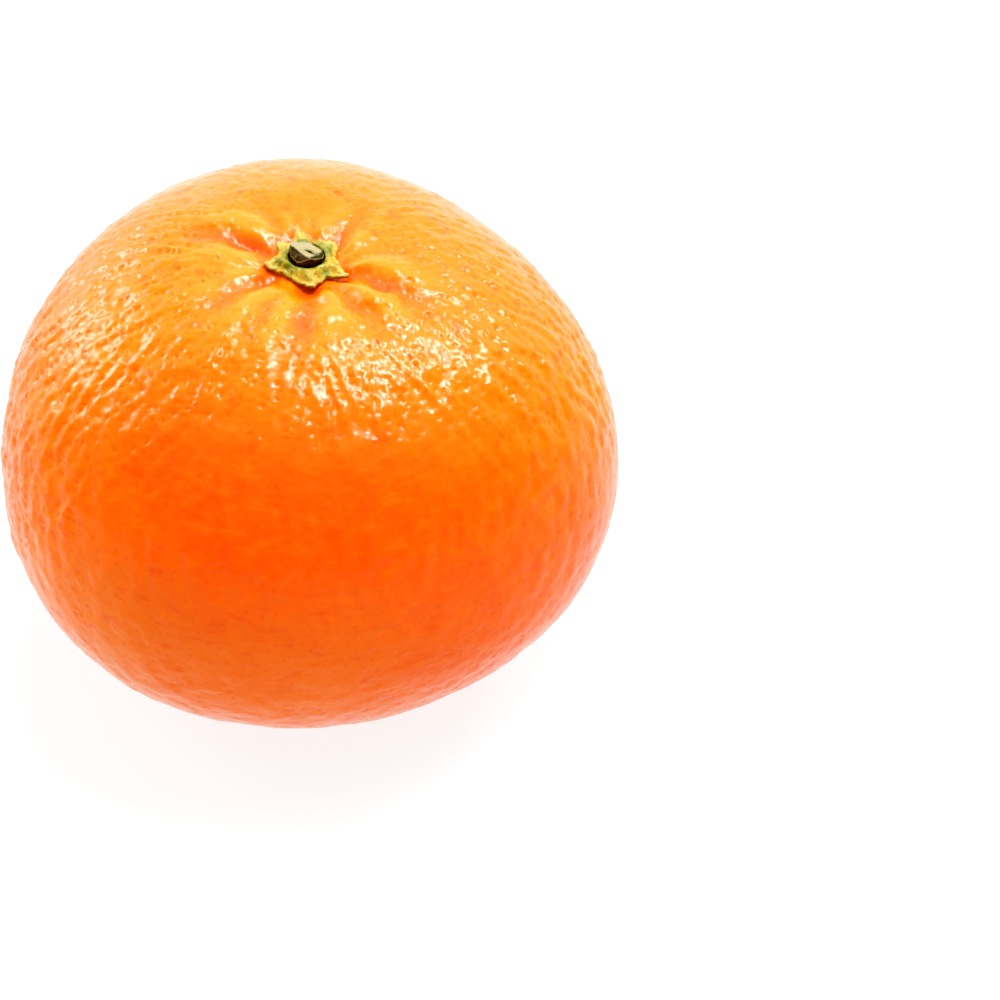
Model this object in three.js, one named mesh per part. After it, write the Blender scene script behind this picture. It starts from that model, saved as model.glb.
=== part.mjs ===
// A whole mandarin with its calyx and a short cut stem. Millimetres, +Z up, resting on z = 0.
import * as THREE from "three";

const { abs, atan2, cos, exp, hypot, max, PI, pow, sin } = Math;
const degrees = THREE.MathUtils.degToRad;

// Fruit: a flattened round body whose section is a superellipse, half round on half flat.
const RADIUS = 32.5; // half its width
const CROWN = 27; // from the widest level up to the stem end, before the stem hollow
const BASE = 25.8; // from the widest level down to the blossom end, before the flat
const FULLNESS = 2.15; // exponent of the section, 2 is an ellipse
const FLAT = 0.8; // how much of the blossom end is pressed flat by its weight
const STEM_SHIFT = 0.5; // the stem end stands this far off the middle, towards +X

// The plan isn't a true circle. It swells a little on three sides, and one shoulder is flatter and the
// flank across from it fuller than the rest. tilt is the angle from the stem end.
const TRIAD = { share: 0.0205, lobes: 3, towards: degrees(-18) };
const SHOULDERS = [
  { azimuth: degrees(37), tilt: degrees(62), width: degrees(40), rise: -1.7 },
  { azimuth: degrees(238), tilt: degrees(115), width: degrees(40), rise: 0.5 },
];

// Hollows at both ends, as deep and as wide as a bell curve.
const STEM_HOLLOW = { depth: 2.7, radius: 8.5 };
const BLOSSOM_HOLLOW = { depth: 1.9, radius: 3.3 };

// Furrows run out from the calyx. from and to are distances from the stem, bend is degrees per mm.
const FURROWS = [
  { azimuth: -21, from: 3.6, to: 14.0, depth: 0.85, width: 1.35, bend: -0.6 },
  { azimuth: -54, from: 4.5, to: 14.0, depth: 0.6, width: 1.15, bend: 0.5 },
  { azimuth: -84, from: 3.0, to: 14.0, depth: 0.65, width: 1.25, bend: -0.8 },
  { azimuth: -116, from: 4.5, to: 13.0, depth: 0.35, width: 0.9, bend: 0.3 },
  { azimuth: -146, from: 3.8, to: 12.5, depth: 0.55, width: 1.1, bend: 0.4 },
  { azimuth: 154, from: 4.6, to: 12.5, depth: 0.95, width: 1.3, bend: 0.7 },
  { azimuth: 122, from: 3.6, to: 9.5, depth: 0.5, width: 0.9, bend: 0 },
  { azimuth: 103, from: 4.2, to: 7.5, depth: 0.55, width: 0.6, bend: 0 },
  { azimuth: 52, from: 4.4, to: 10.5, depth: 0.55, width: 1.0, bend: 0.5 },
  { azimuth: 12, from: 4.6, to: 9.5, depth: 0.35, width: 0.85, bend: -0.4 },
];
// Furrows wander from side to side and shallow out here and there. turn is in degrees, length in mm.
const WOBBLE = { turn: 4.5, length: 4.2, depth: 0.3 };
const LIP = { share: 0.5, offset: 1.75, width: 1.1 }; // puffed skin on both sides of a furrow
const MOAT = { depth: 0.36, at: 4.0, width: 1.0 }; // a shallow ring hollow round the calyx
const PUCKER = { count: 17, depth: 0.18, at: 5.4, width: 2.0 }; // fine folds round the calyx
const WAVE = { height: 0.11, length: 8.5 }; // gentle unevenness all over
const FRUIT_MESH = { rings: 48, around: 90, crowding: 0.62 };

// Calyx: a star of uneven lobes that lies on the skin, with a collar round the stem.
const SEPALS = [
  { azimuth: 188, reach: 4.4, width: 16, lift: 0.1, blunt: 1.3 },
  { azimuth: 139, reach: 4.1, width: 16, lift: 0.45, blunt: 1.7 },
  { azimuth: 104, reach: 4.9, width: 11, lift: 1.0, blunt: 1.2 },
  { azimuth: 48, reach: 4.0, width: 24, lift: 0.35, blunt: 2.4 },
  { azimuth: -26, reach: 5.0, width: 14, lift: 0.1, blunt: 1.1 },
  { azimuth: -80, reach: 3.95, width: 28, lift: 0.15, blunt: 1.8 },
];
const DISC = 2.95; // radius of the calyx between its lobes
const SKIN_GAP = 0.3; // clear of the skin
const LEAF = 0.62; // thickness at the lobes
const COLLAR = { radius: 2.75, height: 1.25 };
const SOCKET = { radius: 2.12, floor: 0.62 };
const CALYX_AROUND = 72;

// Stem: a short woody stub cut on a slant, standing in the collar.
const STEM = { radius: 1.8, height: 1.35, slant: degrees(26.5), high: degrees(217) };
// The cut is chipped off at its high side, from this far out and this steeply.
const STEM_CHIP = { from: 0.85, towards: degrees(228), slope: 0.75 };
const STEM_GAP = 0.3; // clear of the socket's floor and wall
const STEM_AROUND = 24;

const PEEL = { color: 0xf26a0c, roughness: 0.42, metalness: 0 };
const GREEN = { color: 0x9fae3a, roughness: 0.6, metalness: 0 };
const BARK = { color: 0x6b4426, roughness: 0.8, metalness: 0 };

const bell = (distance, width) => exp(-pow(distance / width, 2));
const ramp = (x) => x * x * (3 - 2 * x);
const step = (from, to, x) => ramp(THREE.MathUtils.clamp((x - from) / (to - from), 0, 1));
const turnBetween = (a, b) => atan2(sin(a - b), cos(a - b));

// Depth of every furrow, less its puffed lips, at a distance and an azimuth from the stem.
function furrows(distance, azimuth) {
  let depth = MOAT.depth * bell(distance - MOAT.at, MOAT.width);
  for (const f of FURROWS) {
    const phase = (2 * PI * distance) / WOBBLE.length + 1.9 * f.azimuth;
    const wander = (WOBBLE.turn * sin(phase) * 4) / (distance + 4);
    const line = degrees(f.azimuth + f.bend * (distance - f.from) + wander);
    const side = distance * abs(turnBetween(azimuth, line));
    const along = step(f.from - 1.5, f.from + 1, distance) * (1 - step(f.to - 6, f.to + 3, distance));
    const shallow = 1 - WOBBLE.depth * (0.5 + 0.5 * sin(0.8 * phase + 1));
    const width = f.width * (0.8 + 0.035 * distance);
    const lips = LIP.share * bell(side - LIP.offset * width, LIP.width * width);
    depth += f.depth * along * shallow * (bell(side, width) - lips);
  }
  return depth;
}

// Small folds that gather the skin round the calyx.
function puckers(distance, azimuth) {
  const fold = sin(PUCKER.count * azimuth + 1.3 * sin(2 * azimuth));
  return PUCKER.depth * fold * bell(distance - PUCKER.at, PUCKER.width);
}

// Gentle unevenness, from three crossing waves in space.
function unevenness(x, y, z) {
  const k = (2 * PI) / WAVE.length;
  const across = sin(k * (0.9 * x + 0.3 * z) + 1.7 * sin(0.11 * y));
  const along = sin(k * (0.8 * y - 0.4 * x) + 1.3 * sin(0.13 * z));
  const upwards = sin(k * (0.7 * z + 0.5 * y) + 1.1 * sin(0.12 * x));
  return (WAVE.height * (across + along + upwards)) / 3;
}

// A point of the skin, by its angle from the stem end and its azimuth. z is 0 at the flat.
function skin(angle, azimuth) {
  const depth = cos(angle) > 0 ? CROWN : BASE;
  const across = pow(sin(angle) / RADIUS, FULLNESS);
  const upright = pow(abs(cos(angle)) / depth, FULLNESS);
  const length = pow(across + upright, -1 / FULLNESS);
  const round = length * sin(angle);
  const level = length * cos(angle);

  const triad = 1 + TRIAD.share * pow(sin(angle), 2) * cos(TRIAD.lobes * (azimuth - TRIAD.towards));
  let size = 1;
  for (const s of SHOULDERS) {
    const facing = cos(angle) * cos(s.tilt) + sin(angle) * sin(s.tilt) * cos(azimuth - s.azimuth);
    size += (s.rise / RADIUS) * bell(Math.acos(THREE.MathUtils.clamp(facing, -1, 1)), s.width);
  }
  let x = round * triad * size * cos(azimuth);
  let y = round * triad * size * sin(azimuth);
  let z = level * size;

  const crown = step(0.1, 0.7, level / CROWN); // 1 over the top, where the stem's marks are
  const rough = unevenness(x, y, z) * step(0, 12, round);
  const raised = rough - crown * (furrows(round, azimuth) + puckers(round, azimuth));
  const normal = new THREE.Vector3(x / RADIUS ** 2, y / RADIUS ** 2, z / depth ** 2).normalize();
  x += raised * normal.x;
  y += raised * normal.y;
  z += raised * normal.z;

  if (level > 0) {
    x += STEM_SHIFT * pow(level / CROWN, 4);
    z -= STEM_HOLLOW.depth * bell(round, STEM_HOLLOW.radius);
  } else z += BLOSSOM_HOLLOW.depth * bell(round, BLOSSOM_HOLLOW.radius);
  return new THREE.Vector3(x, y, max(z + BASE - FLAT, 0));
}

// The skin at a distance from the stem.
function skinNearStem(distance, azimuth) {
  const level = CROWN * pow(1 - pow(distance / RADIUS, FULLNESS), 1 / FULLNESS);
  return skin(atan2(distance, level), azimuth);
}

// Turns a lathe about Z and moves each of its points by place(point), so that its net of faces stays closed.
function shapedLathe(profile, around, place) {
  const geometry = new THREE.LatheGeometry(profile, around).rotateX(PI / 2);
  const points = geometry.getAttribute("position");
  for (let i = 0; i < points.count; i++) {
    const moved = place(new THREE.Vector3().fromBufferAttribute(points, i));
    points.setXYZ(i, moved.x, moved.y, moved.z);
  }
  geometry.computeVertexNormals();
  return geometry;
}

function piece(name, geometry, look) {
  const mesh = new THREE.Mesh(geometry, new THREE.MeshStandardMaterial(look));
  mesh.name = name;
  return mesh;
}

function fruit() {
  const profile = [];
  for (let i = 0; i <= FRUIT_MESH.rings; i++) {
    const t = i / FRUIT_MESH.rings;
    const angle = PI * t - (FRUIT_MESH.crowding * sin(2 * PI * t)) / 2;
    profile.push(new THREE.Vector2(i % FRUIT_MESH.rings ? sin(angle) : 0, -cos(angle)));
  }
  const place = (p) => skin(atan2(hypot(p.x, p.y), p.z), atan2(p.y, p.x));
  return piece("fruit", shapedLathe(profile, FRUIT_MESH.around, place), PEEL);
}

// How far the calyx reaches, and how far its edge lifts, at an azimuth.
function sepalAt(azimuth) {
  let reach = DISC;
  let lift = 0;
  for (const s of SEPALS) {
    const aside = abs(turnBetween(azimuth, degrees(s.azimuth))) / degrees(s.width);
    const point = exp(-pow(aside, s.blunt));
    reach = max(reach, DISC + (s.reach - DISC) * point);
    lift = max(lift, s.lift * point);
  }
  return { reach, lift };
}

// The profile holds, for each ring, its distance from the stem as a share and its height over the skin.
// Shares up to 1 are inside the collar, from 1 to 2 they run out along the lobes.
function calyx() {
  const inner = SOCKET.radius / COLLAR.radius;
  const profile = [new THREE.Vector2(0, 0)];
  for (let i = 1; i <= 6; i++) profile.push(new THREE.Vector2(i / 3, 0));
  for (let i = 6; i > 3; i--) profile.push(new THREE.Vector2(i / 3, LEAF));
  profile.push(new THREE.Vector2(1, LEAF + 0.2));
  profile.push(new THREE.Vector2(0.96, COLLAR.height));
  profile.push(new THREE.Vector2(inner, COLLAR.height));
  profile.push(new THREE.Vector2(inner, SOCKET.floor));
  profile.push(new THREE.Vector2(0, SOCKET.floor));
  const place = (p) => {
    const share = hypot(p.x, p.y);
    const azimuth = atan2(p.y, p.x);
    const { reach, lift } = sepalAt(azimuth);
    const out = max(share - 1, 0);
    const distance = COLLAR.radius * (share - out) + (reach - COLLAR.radius) * out;
    const onSkin = skinNearStem(distance, azimuth);
    onSkin.z += SKIN_GAP + p.z + lift * out * out;
    return onSkin;
  };
  return piece("calyx", shapedLathe(profile, CALYX_AROUND, place), GREEN);
}

function stemStub() {
  const profile = [new THREE.Vector2(0, 0)];
  for (const height of [0, 0.3, 0.6, 0.8, 1]) profile.push(new THREE.Vector2(1, height));
  profile.push(new THREE.Vector2(0.5, 1), new THREE.Vector2(0, 1));
  const foot = skinNearStem(0, 0);
  foot.z += SKIN_GAP + SOCKET.floor + STEM_GAP;
  const place = (p) => {
    const azimuth = atan2(p.y, p.x);
    const bark = 1 - 0.04 * (1 + sin(5 * azimuth)) * (1 - p.z / 2);
    const distance = hypot(p.x, p.y) * STEM.radius * bark;
    const beyond = max(distance * cos(azimuth - STEM_CHIP.towards) - STEM_CHIP.from, 0);
    const slope = Math.tan(STEM.slant);
    const rise = distance * cos(azimuth - STEM.high) * slope - beyond * (STEM_CHIP.slope + slope);
    return new THREE.Vector3(
      foot.x + distance * cos(azimuth),
      foot.y + distance * sin(azimuth),
      foot.z + p.z * (STEM.height + rise),
    );
  };
  return piece("stem_stub", shapedLathe(profile, STEM_AROUND, place), BARK);
}

const mandarin = new THREE.Group();
mandarin.add(fruit(), calyx(), stemStub());

// The frame's origin is on the floor, under the middle of the whole.
const middle = new THREE.Box3().setFromObject(mandarin).getCenter(new THREE.Vector3());
mandarin.position.set(-middle.x, -middle.y, 0);

export default mandarin;
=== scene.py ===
"""A whole mandarin with a pitted peel, a star-shaped calyx and a short cut stem, on a plain stage.

Every length is in metres and every angle in radians, unless a name or a comment says otherwise.
"""

import math

import bmesh
import bpy
import numpy as np
from bpy.props import FloatProperty, FloatVectorProperty, IntProperty, PointerProperty
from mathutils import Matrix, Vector


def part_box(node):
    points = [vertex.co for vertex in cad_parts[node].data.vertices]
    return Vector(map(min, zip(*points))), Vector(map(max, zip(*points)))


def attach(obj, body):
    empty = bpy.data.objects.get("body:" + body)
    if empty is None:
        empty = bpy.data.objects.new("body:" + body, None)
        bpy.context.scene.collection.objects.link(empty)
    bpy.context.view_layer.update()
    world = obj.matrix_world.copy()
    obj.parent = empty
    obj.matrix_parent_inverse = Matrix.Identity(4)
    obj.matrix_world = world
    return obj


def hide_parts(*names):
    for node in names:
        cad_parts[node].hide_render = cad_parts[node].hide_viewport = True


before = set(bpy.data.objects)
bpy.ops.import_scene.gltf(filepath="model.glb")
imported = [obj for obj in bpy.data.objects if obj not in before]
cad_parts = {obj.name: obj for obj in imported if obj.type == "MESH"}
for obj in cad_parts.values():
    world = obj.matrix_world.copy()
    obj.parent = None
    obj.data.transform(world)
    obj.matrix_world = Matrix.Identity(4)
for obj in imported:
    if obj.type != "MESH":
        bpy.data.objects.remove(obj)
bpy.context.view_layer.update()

bl_info = {
    "name": "Mandarin",
    "version": (1, 0, 0),
    "blender": (4, 5, 0),
    "location": "View3D > Sidebar > Mandarin",
    "description": "Builds a whole mandarin piece by piece, and a plain stage for it",
    "category": "Add Mesh",
}

MM = 0.001

# The plan swells a little on three sides. One shoulder is flatter, and the flank across from it fuller.
TRIAD = {"share": 0.0205, "lobes": 3, "towards": math.radians(-18)}
SHOULDERS = (
    {"azimuth": math.radians(37), "tilt": math.radians(62), "width": math.radians(40), "rise": -1.7 * MM},
    {"azimuth": math.radians(238), "tilt": math.radians(115), "width": math.radians(40), "rise": 0.5 * MM},
)

# Hollows at both ends, as deep and as wide as a bell curve.
STEM_HOLLOW = {"depth": 2.7 * MM, "radius": 8.5 * MM}
BLOSSOM_HOLLOW = {"depth": 1.9 * MM, "radius": 3.3 * MM}

# Furrows that run out from the calyx: azimuth and bend in degrees and degrees per mm, the rest in mm.
FURROWS = (
    {"azimuth": -21, "from": 3.6, "to": 14.0, "depth": 0.85, "width": 1.35, "bend": -0.6},
    {"azimuth": -54, "from": 4.5, "to": 14.0, "depth": 0.6, "width": 1.15, "bend": 0.5},
    {"azimuth": -84, "from": 3.0, "to": 14.0, "depth": 0.65, "width": 1.25, "bend": -0.8},
    {"azimuth": -116, "from": 4.5, "to": 13.0, "depth": 0.35, "width": 0.9, "bend": 0.3},
    {"azimuth": -146, "from": 3.8, "to": 12.5, "depth": 0.55, "width": 1.1, "bend": 0.4},
    {"azimuth": 154, "from": 4.6, "to": 12.5, "depth": 0.95, "width": 1.3, "bend": 0.7},
    {"azimuth": 122, "from": 3.6, "to": 9.5, "depth": 0.5, "width": 0.9, "bend": 0.0},
    {"azimuth": 103, "from": 4.2, "to": 7.5, "depth": 0.55, "width": 0.6, "bend": 0.0},
    {"azimuth": 52, "from": 4.4, "to": 10.5, "depth": 0.55, "width": 1.0, "bend": 0.5},
    {"azimuth": 12, "from": 4.6, "to": 9.5, "depth": 0.35, "width": 0.85, "bend": -0.4},
)
WOBBLE = {"turn": 4.5, "length": 4.2, "depth": 0.3}  # furrows wander and vary in depth: degrees, mm, share
LIP = {"share": 0.5, "offset": 1.75, "width": 1.1}  # puffed skin on both sides of a furrow
MOAT = {"depth": 0.36, "at": 4.0, "width": 1.0}  # groove round the calyx
PUCKER = {"count": 17, "depth": 0.18 * MM, "at": 5.4 * MM, "width": 2.0 * MM}
WAVE = {"height": 0.11 * MM, "length": 8.5 * MM}
DIMPLES = {"height": 0.028 * MM, "shortest": 1.5 * MM, "longest": 3.6 * MM, "waves": 90}

# Wrinkles down from the stem: how many go round, and how long one wave of them is.
WRINKLES = {
    "height": 0.034 * MM,
    "fewest": 38,
    "most": 105,
    "shortest": 4.0 * MM,
    "longest": 12.0 * MM,
    "waves": 60,
}

# How coarse the relief is, as a share. It grows from the flank to the shoulder, and is less near the calyx
# and behind. The shoulder begins lower down at the back and at the sides, most of all on the left.
COARSE = {
    "flank": 0.8,
    "shoulder": 0.95,
    "shoulder_from": 38.0 * MM,
    "shoulder_to": 44.5 * MM,
    "lower_behind": 0.3,
    "lower_left": 0.8 / (30.0 * MM),
    "lower_right": 0.3 / (30.0 * MM),
    "near_calyx": 0.45,
    "calyx_from": 3.5 * MM,
    "calyx_to": 9.0 * MM,
    "less_behind": 0.65,
    "behind_from": 2.0 * MM,
    "behind_to": 16.0 * MM,
}

# Sepals of the calyx: azimuth and half width in degrees, reach and lift in mm, and how blunt the tip is.
SEPALS = (
    {"azimuth": 188, "reach": 4.4, "width": 16, "lift": 0.1, "blunt": 1.3},
    {"azimuth": 139, "reach": 4.1, "width": 16, "lift": 0.45, "blunt": 1.7},
    {"azimuth": 104, "reach": 4.9, "width": 11, "lift": 1.0, "blunt": 1.2},
    {"azimuth": 48, "reach": 4.0, "width": 24, "lift": 0.35, "blunt": 2.4},
    {"azimuth": -26, "reach": 5.0, "width": 14, "lift": 0.1, "blunt": 1.1},
    {"azimuth": -80, "reach": 3.95, "width": 28, "lift": 0.15, "blunt": 1.8},
)
LUMPS = {"height": 0.06 * MM, "shortest": 0.55 * MM, "longest": 1.7 * MM, "waves": 50}  # in the sepals
CHIPS = {"height": 0.05 * MM, "shortest": 0.4 * MM, "longest": 1.5 * MM, "waves": 40}  # in bark and cut wood

# Lamps: the direction that each shines from, its width and height, and how bright its face looks.
LAMPS = (
    {"name": "key_light", "towards": (0.27, 0.05, 0.95), "size": (0.41, 0.12), "glow": 31.0},
    {"name": "right_light", "towards": (0.59, 0.31, 0.73), "size": (0.17, 0.22), "glow": 25.0},
    {"name": "top_light", "towards": (-0.02, 0.25, 0.96), "size": (0.09, 0.24), "glow": 20.0},
    {"name": "key_halo", "towards": (0.36, 0.2, 0.9), "size": (0.66, 0.46), "glow": 0.6, "distance": 0.83},
    {"name": "window_light", "towards": (-0.75, 0.58, 0.28), "size": (0.22, 0.36), "glow": 6.5},
    {"name": "left_light", "towards": (-0.8, 0.36, 0.46), "size": (0.3, 0.3), "glow": 3.2},
)
LAMP_DISTANCE = 0.8
STUDIO = {"all_round": 0.6, "behind": 0.85, "above": 0.33}  # how bright the studio is, and what is added
TOES = {"toe": 0.07, "blue_toe": 0.065}  # brightness under which shades are deepened


# ---------------------------------------------------------------- settings


def length(name, description, default):
    """A property that holds a length."""
    return FloatProperty(name=name, description=description, default=default, unit="LENGTH", precision=5)


def colour(name, description, default):
    """A property that holds a linear colour."""
    return FloatVectorProperty(
        name=name, description=description, default=default, subtype="COLOR", size=3, min=0, max=1
    )


class FruitSettings(bpy.types.PropertyGroup):
    """Sizes of the fruit and of its oil glands."""

    radius: length("Radius", "Half the fruit's width", 32.5 * MM)
    crown: length("Crown", "From the widest level up to the stem end, before its hollow", 27.0 * MM)
    base: length("Base", "From the widest level down to the blossom end, before the flat", 25.8 * MM)
    fullness: FloatProperty(
        name="Fullness", description="Exponent of the section, 2 is an ellipse", default=2.15
    )
    flat: length("Flat", "How much of the blossom end its weight presses flat", 0.8 * MM)
    stem_shift: length("Stem shift", "How far off the middle the stem end stands", 0.5 * MM)
    glands: IntProperty(name="Glands", description="Number of oil glands over the whole peel", default=10400)
    gland_depth: length("Gland depth", "Depth of a usual gland's pit", 0.08 * MM)
    seed: IntProperty(name="Seed", description="Picks another spread of glands", default=7)


class PeelColours(bpy.types.PropertyGroup):
    """Colours of the peel."""

    flank: colour("Flank", "Deep orange round the widest level", (0.93, 0.09, 0.0012))
    # Partly the peel's own yellower colour near the stem, partly painted light spread over the top, the
    # back, the sides and low down.
    crown: colour("Crown", "Yellower orange near the stem", (0.95, 0.168, 0.005))
    # Painted light: paler skin laid onto the puffed ridges beside the furrows, where they catch the light.
    painted_ridge_light: colour("Ridge", "Palest skin, on the ridges between the furrows", (0.95, 0.27, 0.03))
    gland: colour("Gland", "Oil glands seen through the skin", (0.86, 0.062, 0.0008))
    net: colour("Net", "Paler skin between the glands", (0.95, 0.15, 0.004))
    # Painted shade: duller, darker orange laid into the furrows and the groove round the calyx, where shade
    # falls.
    painted_furrow_shade: colour("Furrow", "Duller skin down in the furrows", (0.66, 0.075, 0.014))
    scar: colour("Scar", "Corky scar at the blossom end", (0.16, 0.08, 0.03))


class CalyxSettings(bpy.types.PropertyGroup):
    """Sizes and colours of the calyx."""

    disc: length("Disc", "Radius of the calyx between its sepals", 2.95 * MM)
    collar: length("Collar", "Radius of the collar round the stem", 2.5 * MM)
    collar_height: length("Collar height", "Height of the collar over the skin", 1.3 * MM)
    leaf: length("Thickness", "Thickness of a sepal near the collar", 0.7 * MM)
    edge: length("Edge", "Thickness of a sepal at its edge", 0.2 * MM)
    green: colour("Green", "Living tissue near the stem", (0.13, 0.165, 0.02))
    yellow: colour("Yellow", "Drying tissue of the sepals", (0.42, 0.29, 0.035))
    straw: colour("Straw", "Dry tips", (0.46, 0.29, 0.05))
    pale: colour("Pale", "Whitish patches and ribs", (0.5, 0.47, 0.2))
    # Partly dead, dry edges and specks, partly painted shade round the stem's foot, along the sepals' edges
    # and under them.
    brown: colour("Brown", "Dead edges and specks", (0.07, 0.035, 0.01))


class StemSettings(bpy.types.PropertyGroup):
    """Sizes and colours of the cut stem."""

    radius: length("Radius", "Radius of the stem", 1.8 * MM)
    height: length("Height", "Height of the cut's middle over the skin", 2.25 * MM)
    slant: FloatProperty(
        name="Slant", description="Tilt of the cut face", default=math.radians(26.5), subtype="ANGLE"
    )
    bark: colour("Bark", "Dark bark", (0.035, 0.012, 0.006))
    wood: colour("Wood", "Pale wood of the cut", (0.32, 0.275, 0.16))
    pith: colour("Pith", "Dark olive pith and stained wood of the cut", (0.014, 0.012, 0.002))


class StageSettings(bpy.types.PropertyGroup):
    """Camera and light."""

    elevation: FloatProperty(
        name="Elevation",
        description="The camera's height over the horizon",
        default=math.radians(44.15),
        subtype="ANGLE",
    )
    distance: length("Distance", "From the fruit's middle to the camera", 0.4)
    aside: length("Aside", "The fruit's middle lies this far left of the view's axis", 20.06 * MM)
    above: length("Above", "The fruit's middle lies this far above the view's axis", 6.3 * MM)
    lens: FloatProperty(
        name="Lens", description="Focal length in millimetres on a 36 mm sensor", default=136.0
    )
    floor: colour("Floor", "Plain pale floor", (0.14, 0.14, 0.14))
    floor_glow: FloatProperty(
        name="Floor glow", description="Light that comes through the floor", default=0.86
    )


class MandarinSettings(bpy.types.PropertyGroup):
    """Everything that a user would change."""

    fruit: PointerProperty(type=FruitSettings)
    peel: PointerProperty(type=PeelColours)
    calyx: PointerProperty(type=CalyxSettings)
    stem: PointerProperty(type=StemSettings)
    stage: PointerProperty(type=StageSettings)


# ---------------------------------------------------------------- form of the fruit


def bell(distance, width):
    """1 at no distance, falling to nothing past about twice the width."""
    return np.exp(-((distance / width) ** 2))


def step(low, high, x):
    """0 below low and 1 above high, with a smooth rise between them."""
    t = np.clip((x - low) / (high - low), 0.0, 1.0)
    return t * t * (3.0 - 2.0 * t)


def turn_between(a, b):
    """The signed angle between two azimuths."""
    return np.arctan2(np.sin(a - b), np.cos(a - b))


def furrow_depth(distance, azimuth):
    """Depth of all furrows, less their puffed lips."""
    mm = distance / MM
    depth = np.zeros_like(mm)
    for f in FURROWS:
        phase = 2.0 * math.pi * mm / WOBBLE["length"] + 1.9 * f["azimuth"]
        wander = WOBBLE["turn"] * np.sin(phase) * 4.0 / (mm + 4.0)
        line = np.radians(f["azimuth"] + f["bend"] * (mm - f["from"]) + wander)
        side = mm * np.abs(turn_between(azimuth, line))
        along = step(f["from"] - 1.5, f["from"] + 1.0, mm) * (1.0 - step(f["to"] - 6.0, f["to"] + 3.0, mm))
        along = along * (1.0 - WOBBLE["depth"] * (0.5 + 0.5 * np.sin(0.8 * phase + 1.0)))
        width = f["width"] * (0.8 + 0.035 * mm)
        lips = LIP["share"] * bell(side - LIP["offset"] * width, LIP["width"] * width)
        depth += f["depth"] * along * (bell(side, width) - lips)
    return (depth + MOAT["depth"] * bell(mm - MOAT["at"], MOAT["width"])) * MM


def pucker_depth(distance, azimuth):
    """Small folds that gather the skin round the calyx."""
    fold = np.sin(PUCKER["count"] * azimuth + 1.3 * np.sin(2.0 * azimuth))
    return PUCKER["depth"] * fold * bell(distance - PUCKER["at"], PUCKER["width"])


def crossing_waves(wave, x, y, z):
    """Gentle unevenness from three waves that cross in space."""
    k = 2.0 * math.pi / wave["length"]
    across = np.sin(k * (0.9 * x + 0.3 * z) + 1.7 * np.sin(110.0 * y))
    along = np.sin(k * (0.8 * y - 0.4 * x) + 1.3 * np.sin(130.0 * z))
    upwards = np.sin(k * (0.7 * z + 0.5 * y) + 1.1 * np.sin(120.0 * x))
    return wave["height"] * (across + along + upwards) / 3.0


def dimpled(points, rng, dimples):
    """Soft, patternless ups and downs from many waves with random directions and lengths."""
    total = np.zeros(points.shape[:-1])
    for _ in range(dimples["waves"]):
        towards = rng.normal(0.0, 1.0, 3)
        towards /= np.linalg.norm(towards)
        wave = rng.uniform(dimples["shortest"], dimples["longest"])
        total += np.sin(points @ towards * (2.0 * math.pi / wave) + rng.uniform(0.0, 2.0 * math.pi))
    return dimples["height"] * total / math.sqrt(dimples["waves"] / 2.0)


def wrinkled(fruit, angle, azimuth, rng):
    """Fine wrinkles that run down from the stem, closer together the nearer they are to it."""
    down = angle * fruit.radius
    total = np.zeros_like(angle)
    for _ in range(WRINKLES["waves"]):
        count = rng.integers(WRINKLES["fewest"], WRINKLES["most"])
        slant = rng.choice((-1.0, 1.0))
        along = slant * 2.0 * math.pi / rng.uniform(WRINKLES["shortest"], WRINKLES["longest"])
        total += np.sin(count * azimuth + along * down + rng.uniform(0.0, 2.0 * math.pi))
    total /= math.sqrt(WRINKLES["waves"] / 2.0)
    return WRINKLES["height"] * total * step(0.15, 0.45, angle) * (1.0 - step(1.2, 1.7, angle))


def coarseness(points):
    """How coarse the relief is at each point, as a share."""
    x, y, z = points[:, 0], points[:, 1], points[:, 2]
    lower_aside = np.where(x < 0.0, COARSE["lower_left"], COARSE["lower_right"])
    height = z + COARSE["lower_behind"] * y + lower_aside * x**2
    shoulder = COARSE["shoulder"] * step(COARSE["shoulder_from"], COARSE["shoulder_to"], height)
    off_calyx = step(COARSE["calyx_from"], COARSE["calyx_to"], np.hypot(x, y))
    near = COARSE["near_calyx"] + (1.0 - COARSE["near_calyx"]) * off_calyx
    behind = COARSE["less_behind"] * step(COARSE["behind_from"], COARSE["behind_to"], y)
    return (COARSE["flank"] + shoulder) * near * (1.0 - behind)


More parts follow.
